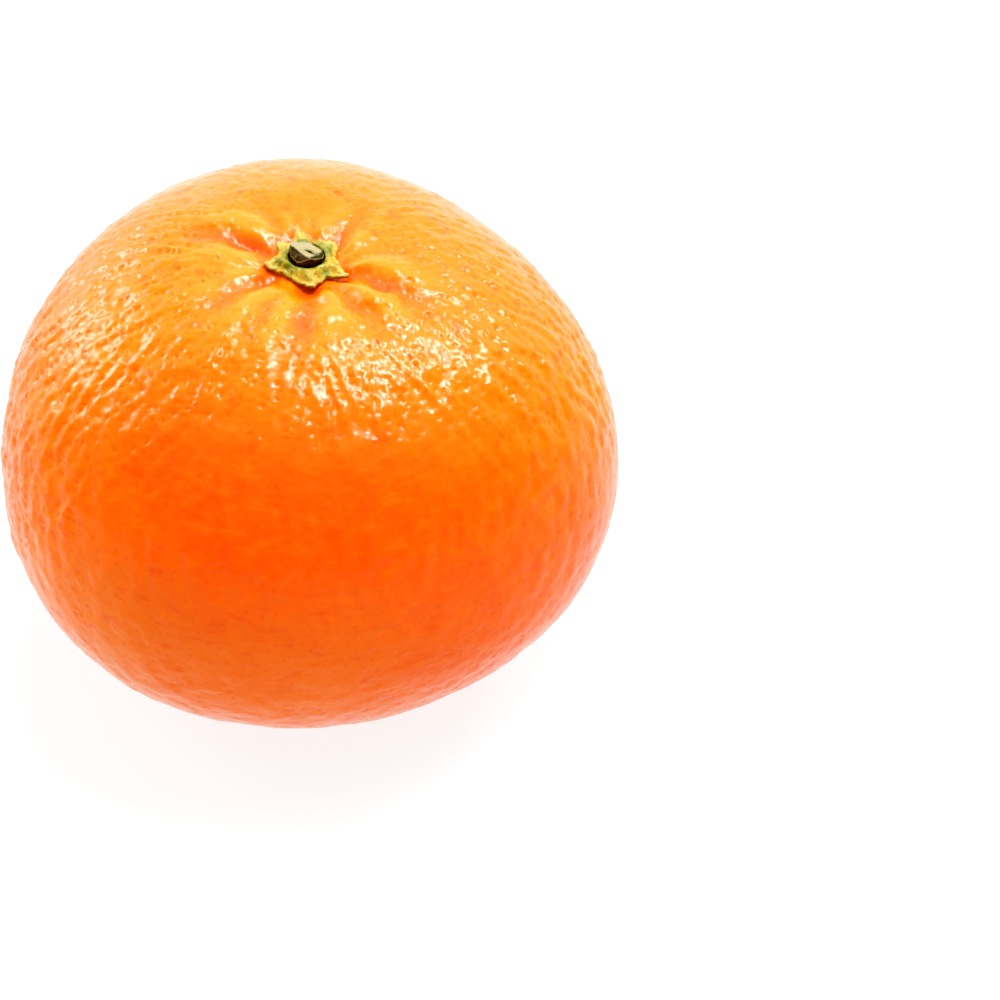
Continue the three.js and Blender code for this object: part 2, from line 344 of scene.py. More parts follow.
def skin(fruit, angle, azimuth, folds=1.0):
    """Points and outward directions of the skin, by the angle from the stem end and the azimuth.

    z is 0 at the flat. folds scales the furrows and puckers, so 0 gives the bare round form.
    """
    depth = np.where(np.cos(angle) > 0, fruit.crown, fruit.base)
    across = (np.sin(angle) / fruit.radius) ** fruit.fullness
    upright = (np.abs(np.cos(angle)) / depth) ** fruit.fullness
    reach = (across + upright) ** (-1.0 / fruit.fullness)
    distance = reach * np.sin(angle)
    level = reach * np.cos(angle)

    swell = TRIAD["lobes"] * (azimuth - TRIAD["towards"])
    triad = 1.0 + TRIAD["share"] * np.sin(angle) ** 2 * np.cos(swell)
    size = 1.0
    for s in SHOULDERS:
        facing = np.cos(angle) * np.cos(s["tilt"])
        facing += np.sin(angle) * np.sin(s["tilt"]) * np.cos(azimuth - s["azimuth"])
        size += s["rise"] / fruit.radius * bell(np.arccos(np.clip(facing, -1.0, 1.0)), s["width"])
    x = distance * triad * size * np.cos(azimuth)
    y = distance * triad * size * np.sin(azimuth)
    z = level * size

    near_stem = step(0.1, 0.7, level / fruit.crown)
    raised = crossing_waves(WAVE, x, y, z) * step(0.0, 12.0 * MM, distance)
    raised -= folds * near_stem * (furrow_depth(distance, azimuth) + pucker_depth(distance, azimuth))
    out = np.stack([x / fruit.radius**2, y / fruit.radius**2, z / depth**2], axis=-1)
    out /= np.linalg.norm(out, axis=-1, keepdims=True)

    upper = level > 0
    x = x + np.where(upper, fruit.stem_shift * np.maximum(level / fruit.crown, 0.0) ** 4, 0.0)
    z = z - np.where(upper, STEM_HOLLOW["depth"] * bell(distance, STEM_HOLLOW["radius"]), 0.0)
    z = z + np.where(upper, 0.0, BLOSSOM_HOLLOW["depth"] * bell(distance, BLOSSOM_HOLLOW["radius"]))
    points = np.stack([x, y, z + fruit.base - fruit.flat], axis=-1) + raised[..., None] * out
    return points, out


def skin_near_stem(fruit, distance, azimuth, folds=1.0):
    """The skin at a distance from the stem."""
    level = fruit.crown * (1.0 - (distance / fruit.radius) ** fruit.fullness) ** (1.0 / fruit.fullness)
    return skin(fruit, np.arctan2(distance, level), azimuth, folds)[0]


def frame_shift(fruit):
    """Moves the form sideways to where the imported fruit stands."""
    angle, azimuth = np.meshgrid(np.linspace(0.0, math.pi, 120), np.linspace(0.0, 2.0 * math.pi, 240))
    points = skin(fruit, angle, azimuth)[0].reshape(-1, 3)
    low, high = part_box("fruit")
    middle = (points.min(0) + points.max(0)) / 2.0
    return np.array([(low.x + high.x) / 2.0 - middle[0], (low.y + high.y) / 2.0 - middle[1], 0.0])


# ---------------------------------------------------------------- meshes


def new_piece(name, points, faces, marks, material):
    """A smooth-shaded mesh object with a value for each point under each mark's name."""
    mesh = bpy.data.meshes.new(name)
    mesh.from_pydata(points.tolist(), [], faces)
    mesh.polygons.foreach_set("use_smooth", np.ones(len(mesh.polygons), bool))
    for mark, values in marks.items():
        layer = mesh.attributes.new(mark, "FLOAT", "POINT")
        layer.data.foreach_set("value", np.asarray(values, np.float32).ravel())
    mesh.materials.append(material)
    mesh.update()
    if mesh.validate():
        raise RuntimeError(f"{name} has broken faces")
    piece = bpy.data.objects.new(name, mesh)
    bpy.context.scene.collection.objects.link(piece)
    return piece


def spread_on_sphere(count, rng):
    """Points spread evenly but without order over a unit sphere, stem end first."""
    i = np.arange(count) + 0.5
    z = 1.0 - 2.0 * i / count
    turn = i * math.pi * (3.0 - math.sqrt(5.0))
    ring = np.sqrt(1.0 - z * z)
    points = np.stack([ring * np.cos(turn), ring * np.sin(turn), z], axis=-1)
    pitch = math.sqrt(4.0 * math.pi / count)
    points += rng.normal(0.0, 0.33 * pitch, points.shape)
    return points / np.linalg.norm(points, axis=1, keepdims=True)


def net_on_sphere(points):
    """Triangles that join neighbours on a unit sphere, with the points that they use."""
    form = bmesh.new()
    for p in points:
        form.verts.new(p)
    bmesh.ops.convex_hull(form, input=form.verts)
    bmesh.ops.triangulate(form, faces=form.faces)
    loose = [v for v in form.verts if not v.link_faces]
    bmesh.ops.delete(form, geom=loose, context="VERTS")
    form.verts.index_update()
    kept = np.array([v.co[:] for v in form.verts])
    triangles = np.array([[v.index for v in f.verts] for f in form.faces])
    form.free()
    kept /= np.linalg.norm(kept, axis=1, keepdims=True)
    corners = kept[triangles]
    inward = np.einsum(
        "ij,ij->i", np.cross(corners[:, 1] - corners[:, 0], corners[:, 2] - corners[:, 0]), corners.sum(1)
    )
    triangles[inward < 0] = triangles[inward < 0][:, ::-1]
    return kept, triangles


def evened(points, triangles, share):
    """Each point moved by a share of the way to the middle of its neighbours."""
    total = np.zeros_like(points)
    count = np.zeros(len(points))
    for a, b in ((0, 1), (1, 2), (2, 0), (1, 0), (2, 1), (0, 2)):
        np.add.at(total, triangles[:, a], points[triangles[:, b]])
        np.add.at(count, triangles[:, a], 1.0)
    moved = points + share * (total / count[:, None] - points)
    return moved / np.linalg.norm(moved, axis=1, keepdims=True)


def cells(centres, triangles, inset):
    """A net with a cell round each centre: the centre, a ring part of the way out, and the cell's corners.

    Returns directions, faces and, for each point, the centre that it belongs to and its place: 0, 1 or 2.
    """
    count, held = len(centres), len(triangles)
    corner = centres[triangles].mean(1)
    corner /= np.linalg.norm(corner, axis=1, keepdims=True)
    owner = triangles.ravel()
    ring = centres[owner] + inset[owner][:, None] * (np.repeat(corner, 3, axis=0) - centres[owner])
    ring /= np.linalg.norm(ring, axis=1, keepdims=True)

    starts = triangles.ravel()
    ends = np.roll(triangles, -1, axis=1).ravel()
    key = starts * count + ends
    order = np.argsort(key)
    other = order[np.searchsorted(key[order], ends * count + starts)]
    left = np.arange(3 * held) // 3
    right = other // 3
    ring_left = count + held + np.arange(3 * held)
    # The start of an edge is the end of its twin, so its ring point there is the next one on.
    ring_right = count + held + 3 * right + (other % 3 + 1) % 3
    corner_left = count + left
    corner_right = count + right
    fans = np.stack([starts, ring_right, ring_left], axis=-1)
    outer = np.stack([ring_right, corner_right, corner_left], axis=-1)
    inner = np.stack([ring_right, corner_left, ring_left], axis=-1)
    directions = np.concatenate([centres, corner, ring])
    owners = np.concatenate([np.arange(count), triangles[:, 0], owner])
    places = np.concatenate([np.zeros(count), np.full(held, 2.0), np.ones(3 * held)])
    return directions, np.concatenate([fans, outer, inner]).tolist(), owners, places


def loop_net(rows, columns):
    """Quads of a net that closes on itself both ways, like a ring's surface."""
    faces = []
    for r in range(rows):
        below, above = r * columns, (r + 1) % rows * columns
        for c in range(columns):
            d = (c + 1) % columns
            faces.append((below + c, below + d, above + d, above + c))
    return faces


def capped_net(rows, columns):
    """Faces of stacked rings, the lowest first, closed by one point under them and one over them."""
    faces = [(0, 1 + (c + 1) % columns, 1 + c) for c in range(columns)]
    for r in range(rows - 1):
        below, above = 1 + r * columns, 1 + (r + 1) * columns
        for c in range(columns):
            d = (c + 1) % columns
            faces.append((below + c, below + d, above + d, above + c))
    last, top = 1 + (rows - 1) * columns, 1 + rows * columns
    faces += [(last + c, last + (c + 1) % columns, top) for c in range(columns)]
    return faces


# ---------------------------------------------------------------- materials


class Finish:
    """A material with its nodes. Each call of add() makes one node and fills its sockets."""

    def __init__(self, name):
        self.material = bpy.data.materials.new(name)
        self.material.use_nodes = True
        self.tree = self.material.node_tree
        self.tree.nodes.clear()

    def add(self, kind, settings=None, **sockets):
        """Makes a node. A socket's name has _ for a space, or i and a number for a place in the list."""
        node = self.tree.nodes.new("ShaderNode" + kind)
        for key, value in (settings or {}).items():
            setattr(node, key, value)
        for key, value in sockets.items():
            place = int(key[1:]) if key[0] == "i" and key[1:].isdigit() else key.replace("_", " ")
            socket = node.inputs[place]
            if isinstance(value, bpy.types.NodeSocket):
                self.tree.links.new(value, socket)
            elif socket.type == "RGBA" and len(value) == 3:
                socket.default_value = (*value, 1.0)
            else:
                socket.default_value = value
        return node

    def place(self):
        """The point being shaded, in metres."""
        return self.add("TexCoord").outputs["Object"]

    def mark(self, name):
        """A value that the mesh holds for each point."""
        return self.add("Attribute", {"attribute_name": name}).outputs["Fac"]

    def noise(self, vector, size, detail, roughness):
        """Cloudy values from 0 to 1, with blotches of about the given size."""
        node = self.add("TexNoise", Vector=vector, Scale=1.0 / size, Detail=detail, Roughness=roughness)
        return node.outputs["Fac"]

    def spread(self, value, low, high, to_low=0.0, to_high=1.0):
        """value moved from one range to another, smoothly."""
        ends = {"i1": low, "i2": high, "i3": to_low, "i4": to_high}
        return self.add("MapRange", {"interpolation_type": "SMOOTHSTEP"}, i0=value, **ends).outputs["Result"]

    def maths(self, operation, a, b):
        """One sum on two values."""
        return self.add("Math", {"operation": operation}, i0=a, i1=b).outputs["Value"]

    def mix(self, share, a, b):
        """Colour a, with a share of colour b over it."""
        return self.add("Mix", {"data_type": "RGBA"}, i0=share, i6=a, i7=b).outputs[2]

    def stretched(self, vector, scale):
        """The point moved so that noise at it is drawn out where the scale is small."""
        return self.add("Mapping", Vector=vector, Scale=scale).outputs["Vector"]

    def bump(self, height, strength, distance, normal=None):
        """A normal that follows the given height."""
        sockets = {"Height": height, "Strength": strength, "Distance": distance}
        if normal is not None:
            sockets["Normal"] = normal
        return self.add("Bump", **sockets).outputs["Normal"]

    def surface(self, **sockets):
        """Ends the material with a principled surface."""
        shader = self.add("BsdfPrincipled", **sockets)
        out = self.add("OutputMaterial")
        self.tree.links.new(shader.outputs["BSDF"], out.inputs["Surface"])
        return self.material


def crown_and_painted_light_share(f, at):
    """How much of the crown's yellower colour the skin has: partly its own colour near the stem, partly
    painted light towards the top, the back, the sides, low down and on the left, and painted shade on the
    lower right.
    """
    place = f.add("SeparateXYZ", Vector=at).outputs
    # Yellower towards the top, the back and both sides: partly the peel's own colour, partly painted light
    # from above, behind and the sides.
    aside = f.maths("MULTIPLY", f.maths("MULTIPLY", place["X"], place["X"]), 0.2 / (30 * MM))
    height = f.add("VectorMath", {"operation": "DOT_PRODUCT"}, i0=at, i1=(0.15, 0.6, 1.0)).outputs["Value"]
    high = f.spread(f.maths("ADD", height, aside), 24 * MM, 48 * MM)
    # Painted light low down, strong on the left and weak on the right, where painted shade keeps the lower
    # flank deep orange.
    painted_low_light_share = f.spread(place["X"], -4 * MM, 20 * MM, 0.6, 0.1)
    low = f.maths("MULTIPLY", f.spread(place["Z"], 42 * MM, 24 * MM), painted_low_light_share)
    # Painted light on the left flank.
    left = f.spread(place["X"], -12 * MM, -27 * MM, 0.0, 0.48)
    blotches = f.spread(f.noise(at, 14 * MM, 3.0, 0.55), 0.3, 0.7, -0.12, 0.12)
    share = f.maths("ADD", f.maths("ADD", high, f.maths("ADD", low, left)), blotches)
    return f.add("Clamp", Value=share).outputs["Result"]


def peel_finish(colours):
    """Waxy citrus peel, mottled and darker over its oil glands, with painted shade in its furrows, painted
    light on the ridges beside them and a crown colour that is partly painted light.
    """
    f = Finish("peel")
    at = f.place()
    base = f.mix(crown_and_painted_light_share(f, at), colours.flank, colours.crown)
    mottle = f.noise(at, 2.6 * MM, 3.0, 0.6)
    base = f.mix(f.spread(mottle, 0.42, 0.72, 0.0, 0.3), base, colours.net)
    flecks = f.noise(f.stretched(at, (0.6, 0.6, 1.7)), 1.8 * MM, 4.0, 0.7)
    base = f.mix(f.spread(flecks, 0.52, 0.68, 0.0, 0.6), base, colours.net)
    base = f.mix(f.spread(flecks, 0.46, 0.32, 0.0, 0.5), base, colours.gland)
    base = f.mix(f.spread(f.mark("gland"), 0.2, 1.0, 0.0, 0.5), base, colours.gland)
    # Painted shade in the furrows and the groove round the calyx, as deep as the skin is folded.
    base = f.mix(f.maths("MULTIPLY", f.mark("painted_crease_shade"), 0.85), base, colours.painted_furrow_shade)
    # Painted light on the puffed ridges beside the furrows.
    base = f.mix(f.maths("MULTIPLY", f.mark("painted_ridge_light"), 0.45), base, colours.painted_ridge_light)
    base = f.mix(f.mark("scar"), base, colours.scar)

    grain = f.noise(at, 0.5 * MM, 3.0, 0.65)
    swell = f.noise(at, 1.3 * MM, 2.0, 0.5)
    normal = f.bump(swell, 0.5, 0.12 * MM, f.bump(grain, 0.7, 0.045 * MM))
    return f.surface(
        Base_Color=base,
        Roughness=f.spread(mottle, 0.3, 0.7, 0.27, 0.37),
        IOR=1.4,
        Specular_IOR_Level=0.2,
        Subsurface_Weight=0.3,
        Subsurface_Radius=(1.0, 0.35, 0.08),
        Subsurface_Scale=1.6 * MM,
        Coat_Weight=0.7,
        Coat_Roughness=0.095,
        Coat_IOR=1.45,
        Normal=normal,
        Coat_Normal=normal,
    )


def calyx_finish(calyx):
    """Drying green sepals, blotched with yellow and brown, with brown dead edges and painted shade round the
    stem's foot, along the edges and under the sepals.
    """
    f = Finish("calyx")
    at = f.place()
    out = f.mark("out")
    patches = f.noise(at, 1.1 * MM, 3.0, 0.65)
    dry = f.maths("ADD", out, f.spread(patches, 0.35, 0.65, -0.45, 0.45))
    base = f.mix(f.spread(dry, 0.0, 0.75), calyx.green, calyx.yellow)
    base = f.mix(f.spread(dry, 0.85, 1.3, 0.0, 0.8), base, calyx.straw)
    aside = f.add("Mapping", Vector=at, Location=(0.01, 0.02, 0.0)).outputs["Vector"]
    pale = f.noise(aside, 0.7 * MM, 3.0, 0.6)
    base = f.mix(f.spread(pale, 0.54, 0.72, 0.0, 0.6), base, calyx.pale)
    base = f.mix(f.maths("MULTIPLY", f.mark("rib"), 0.25), base, calyx.pale)
    specks = f.noise(at, 0.28 * MM, 4.0, 0.7)
    # Brown on the rim mark: partly dead, dry edges, partly painted shade round the stem's foot, where the
    # sepals meet the skin and under them.
    brown = f.maths("MULTIPLY", f.mark("rim"), f.spread(specks, 0.35, 0.6, 0.1, 0.75))
    base = f.mix(f.maths("MAXIMUM", brown, f.spread(specks, 0.62, 0.74, 0.0, 0.6)), base, calyx.brown)
    normal = f.bump(specks, 0.7, 0.07 * MM)
    return f.surface(
        Base_Color=base,
        Roughness=f.spread(patches, 0.3, 0.7, 0.4, 0.6),
        Subsurface_Weight=0.12,
        Subsurface_Radius=(0.8, 0.6, 0.2),
        Subsurface_Scale=0.4 * MM,
        Normal=normal,
    )


def stem_finish(stem):
    """Bark on the sides, pale wood on the cut."""
    f = Finish("stem")
    at = f.place()
    cut = f.mark("cut")
    slit = f.mark("slit")
    streaks = f.noise(f.stretched(at, (1.0, 1.0, 0.3)), 0.35 * MM, 4.0, 0.65)
    bark = f.mix(f.spread(streaks, 0.55, 0.78, 0.0, 0.6), stem.bark, (0.18, 0.1, 0.07))
    fibres = f.noise(f.stretched(at, (0.6, 1.6, 1.0)), 0.3 * MM, 4.0, 0.6)
    wood = f.mix(f.spread(fibres, 0.5, 0.75, 0.0, 0.6), stem.wood, (0.24, 0.2, 0.07))
    wood = f.mix(f.spread(slit, 0.15, 0.6), wood, stem.pith)
    base = f.mix(cut, bark, wood)
    normal = f.bump(f.maths("ADD", streaks, fibres), 0.7, 0.08 * MM)
    rough = f.maths("ADD", f.spread(fibres, 0.3, 0.7, 0.35, 0.5), f.maths("MULTIPLY", cut, 0.4))
    return f.surface(Base_Color=base, Roughness=rough, Specular_IOR_Level=0.3, Normal=normal)


def floor_finish(tint, glow):
    """Matt white sheet with a faint cloudiness, lit softly from below."""
    f = Finish("floor")
    cloud = f.noise(f.place(), 0.4, 2.0, 0.5)
    base = f.mix(f.spread(cloud, 0.3, 0.7, 0.0, 0.1), tint, [0.97 * c for c in tint])
    return f.surface(
        Base_Color=base,
        Roughness=0.9,
        Specular_IOR_Level=0.1,
        Emission_Color=(1.0, 1.0, 1.0),
        Emission_Strength=glow,
    )


# ---------------------------------------------------------------- pieces


class MANDARIN_OT_peel(bpy.types.Operator):
    """Build the whole fruit with its pitted peel"""

    bl_idname = "mandarin.peel"
    bl_label = "Build Peel"

    EVENING = (0.5, 0.5, 0.3)  # how far each round moves the glands towards even places
    RING = (0.4, 0.58)  # where a pit's ring lies on the way from its middle to its corners
    PIT_SIZES = (0.3, 1.3)
    PIT_FORM = (1.0, 0.3, 0.0)  # depth at a pit's middle, ring and corners
    CORNER_ROUGHNESS = 0.12
    GLAND_TONES = (0.45, 1.0)
    # Fold depth at which the painted shade in a furrow is full, and rise at which the painted light on a
    # ridge is full.
    FURROW_SHADE_FULL_AT = 0.6 * MM
    RIDGE_LIGHT_FULL_AT = 0.24 * MM
    SCAR = (0.7 * MM, 1.3 * MM)

    def execute(self, context):
        settings = context.scene.mandarin
        fruit = settings.fruit
        rng = np.random.default_rng(fruit.seed)
        centres = spread_on_sphere(fruit.glands, rng)
        for share in self.EVENING:
            centres, triangles = net_on_sphere(centres)
            centres = evened(centres, triangles, share)
        centres, triangles = net_on_sphere(centres)
        count = len(centres)
        inset = rng.uniform(*self.RING, count)
        directions, faces, owners, places = cells(centres, triangles, inset)

        angle = np.arctan2(np.hypot(directions[:, 0], directions[:, 1]), directions[:, 2])
        azimuth = np.arctan2(directions[:, 1], directions[:, 0])
        points, out = skin(fruit, angle, azimuth)
        uneven = dimpled(points, rng, DIMPLES) + wrinkled(fruit, angle, azimuth, rng)
        points += (uneven * (0.3 + coarseness(points)))[:, None] * out

        pit = fruit.gland_depth * rng.uniform(*self.PIT_SIZES, count) ** 1.5
        pit *= coarseness(points[:count])
        share = np.choose(places.astype(int), self.PIT_FORM)
        bulge = fruit.gland_depth * rng.normal(0.0, self.CORNER_ROUGHNESS, len(points)) * (places == 2)
        points -= (pit[owners] * share + bulge)[:, None] * out
        points[:, 2] = np.maximum(points[:, 2], 0.0)

        distance = np.hypot(points[:, 0], points[:, 1])
        above = points[:, 2] > fruit.base
        folded = np.where(above, furrow_depth(distance, azimuth), 0.0)
        marks = {
            "gland": share * rng.uniform(*self.GLAND_TONES, count)[owners] ** 1.5,
            # Painted shade where the skin is folded in, and painted light where it is puffed out beside the
            # furrows.
            "painted_crease_shade": np.clip(folded / self.FURROW_SHADE_FULL_AT, 0.0, 1.0),
            "painted_ridge_light": np.clip(-folded / self.RIDGE_LIGHT_FULL_AT, 0.0, 1.0),
            "scar": np.where(above, 0.0, 1.0 - step(*self.SCAR, distance)),
        }
        points += frame_shift(fruit)
        piece = new_piece("peel", points, faces, marks, peel_finish(settings.peel))
        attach(piece, "root")
        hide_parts("fruit")
        return {"FINISHED"}


def sepal_form(azimuth, disc):
    """Reach and lift of the calyx, and how close to a sepal's middle line, at each azimuth."""
    reach = np.full_like(azimuth, disc)
    lift = np.zeros_like(azimuth)
    middle = np.zeros_like(azimuth)
    for s in SEPALS:
        away = np.abs(turn_between(azimuth, math.radians(s["azimuth"]))) / math.radians(s["width"])
        point = np.exp(-(away ** s["blunt"]))
        reach = np.maximum(reach, disc + (s["reach"] * MM - disc) * point)
        lift = np.maximum(lift, s["lift"] * MM * point)
        middle = np.maximum(middle, bell(away, 0.25))
    return reach, lift, middle


class MANDARIN_OT_calyx(bpy.types.Operator):
    """Build the star-shaped calyx that holds the stem"""

    bl_idname = "mandarin.calyx"
    bl_label = "Build Calyx"

    AROUND = 320
    OUT = 44
    UNDER_STEP = 3  # the underside has one row for so many on top
    FOLLOWED = 0.35  # share of the skin's furrows that the calyx follows
    SOCKET_GAP = 0.03 * MM
    SKIN_GAP = 0.05 * MM
    TIP_GAP = 0.06 * MM  # how much higher over the skin the tips are
    LIP_DIP = 0.2 * MM  # how the collar falls towards the stem
    RIB = 0.16 * MM
    PILLOW_FROM = 0.62  # where the top begins to round down to the edge
    CURL = 2.2  # how late on their way out the tips lift

    def execute(self, context):
        settings = context.scene.mandarin
        fruit, calyx, stem = settings.fruit, settings.calyx, settings.stem
        rng = np.random.default_rng(fruit.seed + 2)
        azimuth = np.linspace(0.0, 2.0 * math.pi, self.AROUND, endpoint=False)
        reach, lift, middle = sepal_form(azimuth, calyx.disc)
        edge_line = np.stack([np.cos(azimuth), np.sin(azimuth), np.zeros(self.AROUND)], axis=-1) * 4.0 * MM
        reach = reach + 1.3 * dimpled(edge_line, rng, LUMPS)
        inner = np.full_like(azimuth, stem.radius + self.SOCKET_GAP)

        def row(share, over):
            """One ring of points, by how far out it lies and how high over the skin."""
            points = skin_near_stem(fruit, inner + (reach - inner) * share, azimuth, self.FOLLOWED)
            points[:, 2] += over
            return points

        rows, outs, ribs, rim_and_shade_marks = [], [], [], []
        collar_share = (calyx.collar - stem.radius) / (calyx.disc - stem.radius)
        for i in range(self.OUT + 1):
            share = i / self.OUT
            hump = calyx.collar_height - self.LIP_DIP * bell(share, 0.05)
            fall = step(0.4 * collar_share, 1.25 * collar_share, share)
            edgewards = max(0.0, (share - self.PILLOW_FROM) / (1.0 - self.PILLOW_FROM))
            pillow = math.sqrt(max(0.0, 1.0 - edgewards**2.5))
            thin = 1.1 - 0.3 * share - 0.45 * share * (reach - calyx.disc) / (2.0 * MM)
            body = calyx.edge + (calyx.leaf * thin - calyx.edge) * pillow
            body = body + self.RIB * middle * step(0.15, 0.5, share) * pillow + lift * share**self.CURL
            rows.append(row(share, 2.0 * self.SKIN_GAP + hump * (1.0 - fall) + body * fall))
            outs.append(share * (reach - inner) / (calyx.disc * 1.35 - inner))
            ribs.append(middle * step(0.2, 0.5, share))
            # Brown round the stem's foot and on the outer edge: partly dead tissue, partly painted shade
            # where the calyx meets the stem and the skin.
            rim_and_shade_marks.append(np.full(self.AROUND, bell(share, 0.16) + step(0.9, 1.0, share)))
        top = np.concatenate(rows)
        top[:, 2] += dimpled(top, rng, LUMPS) * np.minimum(1.0, 0.25 + 2.0 * np.concatenate(outs))
        rows = [top]
        for i in range(self.OUT, -1, -self.UNDER_STEP):
            share = i / self.OUT
            rows.append(row(share * 0.98, self.SKIN_GAP + (lift + self.TIP_GAP) * share**self.CURL))
            outs.append(np.full(self.AROUND, share))
            ribs.append(np.zeros(self.AROUND))
            # The underside is brown all over: painted shade under the sepals.
            rim_and_shade_marks.append(np.ones(self.AROUND))
        points = np.concatenate(rows) + frame_shift(fruit)
        faces = [f[::-1] for f in loop_net(len(points) // self.AROUND, self.AROUND)]
        marks = {"out": np.concatenate(outs), "rib": np.concatenate(ribs), "rim": np.concatenate(rim_and_shade_marks)}
        piece = new_piece("calyx_star", points, faces, marks, calyx_finish(calyx))
        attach(piece, "root")
        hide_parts("calyx")
        return {"FINISHED"}


class MANDARIN_OT_stem(bpy.types.Operator):
    """Build the short woody stem with its slanted cut"""

    bl_idname = "mandarin.stem"
    bl_label = "Build Stem"

    AROUND = 128
    SIDE_ROWS = 26
    CUT_ROWS = 20
    FOOT = 0.35 * MM  # height of the lower end over the skin, inside the collar
    FLARE = 0.12 * MM
    BARK = 0.09 * MM  # how far the bark's ribs stand out at most
    EDGE = 0.05 * MM  # how far the bark ends under the cut
    HIGH_SIDE = math.radians(217)
    CHIP_SIDE = math.radians(228)
    CHIP_FROM = 0.85 * MM
    CHIP_SLOPE = 0.75
    CHIP_BARED = 0.16 * MM  # chip depth at which the bark's colour is reached
    DISH = 0.14 * MM
    GRAIN_TURN = 0.12  # how far the slit is turned off the x axis, clockwise
    SLIT = {"depth": 0.3 * MM, "width": 0.19 * MM, "length": 0.75 * MM}
    SLIT_AT = {"aside": 0.05 * MM, "along": 0.45 * MM}
    SLIT_BEND = {"size": 0.12 * MM, "length": 0.22 * MM}
    LIPS = {"height": 0.12 * MM, "aside": 0.45 * MM, "width": 0.22 * MM, "length": 1.2 * MM}
    STAIN = {"from": 0.7 * MM, "to": 1.5 * MM, "turn": 0.5, "share": 0.8}  # dark wood at one end of the cut

    def execute(self, context):
        settings = context.scene.mandarin
        fruit, stem = settings.fruit, settings.stem
        azimuth = np.linspace(0.0, 2.0 * math.pi, self.AROUND, endpoint=False)
        seed = fruit.seed + 1  # the same waves for every ring, so that the chips run on from one to the next
        foot = skin_near_stem(fruit, np.zeros(1), np.zeros(1))[0]
        bark = 0.05 * MM * np.sin(9.0 * azimuth + 1.5 * np.sin(2.0 * azimuth))
        bark += 0.04 * MM * np.sin(23.0 * azimuth + np.sin(4.0 * azimuth))

        def row(distance, height):
            """One ring of points, at a distance from the stem's axis and a height over the skin."""
            return np.stack([distance * np.cos(azimuth), distance * np.sin(azimuth), height], axis=-1)

        def cut_height(distance):
            """Height of the slanted cut over the skin, and how far it is chipped off at one side."""
            plane = stem.height + distance * np.cos(azimuth - self.HIGH_SIDE) * math.tan(stem.slant)
            beyond = np.maximum(0.0, distance * np.cos(azimuth - self.CHIP_SIDE) - self.CHIP_FROM)
            chip = (self.CHIP_SLOPE + math.tan(stem.slant)) * beyond
            return plane - chip, chip

        rows, cuts, slits = [], [], []
        for i in range(self.SIDE_ROWS):
            up = i / (self.SIDE_ROWS - 1)
            flare = self.FLARE * (1.0 - up) ** 3
            distance = stem.radius - self.BARK + flare + bark * (1.0 - 0.4 * up**4)
            level = self.FOOT + up * (cut_height(distance)[0] - self.EDGE - self.FOOT)
            distance = distance + 0.8 * dimpled(row(distance, level), np.random.default_rng(seed), CHIPS)
            rows.append(row(distance, level))
            cuts.append(np.full(self.AROUND, step(0.985, 1.0, up)))
            slits.append(np.zeros(self.AROUND))
        rim = distance
        for i in range(1, self.CUT_ROWS):
            share = 1.0 - i / self.CUT_ROWS
            distance = rim * (share if i > 1 else 0.965)
            dish = self.DISH * (1.0 - share**2)
            across = distance * np.sin(azimuth + self.GRAIN_TURN) - self.SLIT_AT["aside"]
            along = distance * np.cos(azimuth + self.GRAIN_TURN) - self.SLIT_AT["along"]
            bend = self.SLIT_BEND["size"] * np.sin(along / self.SLIT_BEND["length"])
            slit = bell(across + bend, self.SLIT["width"]) * bell(along, self.SLIT["length"])
            lips = bell(np.abs(across) - self.LIPS["aside"], self.LIPS["width"])
            lips = lips * bell(along, self.LIPS["length"])
            level, chip = cut_height(distance)
            level = level - dish - self.SLIT["depth"] * slit + self.LIPS["height"] * lips
            level = level + dimpled(row(distance, level), np.random.default_rng(seed), CHIPS)
            rows.append(row(distance, level))
            cuts.append(1.0 - step(0.0, self.CHIP_BARED, chip))
            aside = distance * np.cos(azimuth + self.STAIN["turn"])
            stained = self.STAIN["share"] * step(self.STAIN["from"], self.STAIN["to"], aside)
            slits.append(np.maximum(slit, stained))
        lowest = np.array([[0.0, 0.0, self.FOOT]])
        middle = np.array([[0.0, 0.0, np.mean(rows[-1][:, 2])]])
        points = np.concatenate([lowest, *rows, middle]) + foot + frame_shift(fruit)
        marks = {
            "cut": np.concatenate([[0.0], *cuts, [1.0]]),
            "slit": np.concatenate([[0.0], *slits, [np.mean(slits[-1])]]),
        }
        faces = capped_net(len(rows), self.AROUND)
        piece = new_piece("cut_stem", points, faces, marks, stem_finish(stem))
        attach(piece, "root")
        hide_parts("stem_stub")
        return {"FINISHED"}


# ---------------------------------------------------------------- stage


def soft_box(name, towards, size, glow, target, distance=LAMP_DISTANCE):
    """A rectangular lamp that shines on the target from a direction. glow is how bright its face looks."""
    data = bpy.data.lights.new(name, "AREA")
    data.shape = "RECTANGLE"
    data.size, data.size_y = size
    data.energy = glow * math.pi * size[0] * size[1]
    lamp = bpy.data.objects.new(name, data)
    away = Vector(towards).normalized()
    lamp.location = target + away * distance
    lamp.rotation_euler = away.to_track_quat("Z", "Y").to_euler()
    bpy.context.scene.collection.objects.link(lamp)
    return lamp


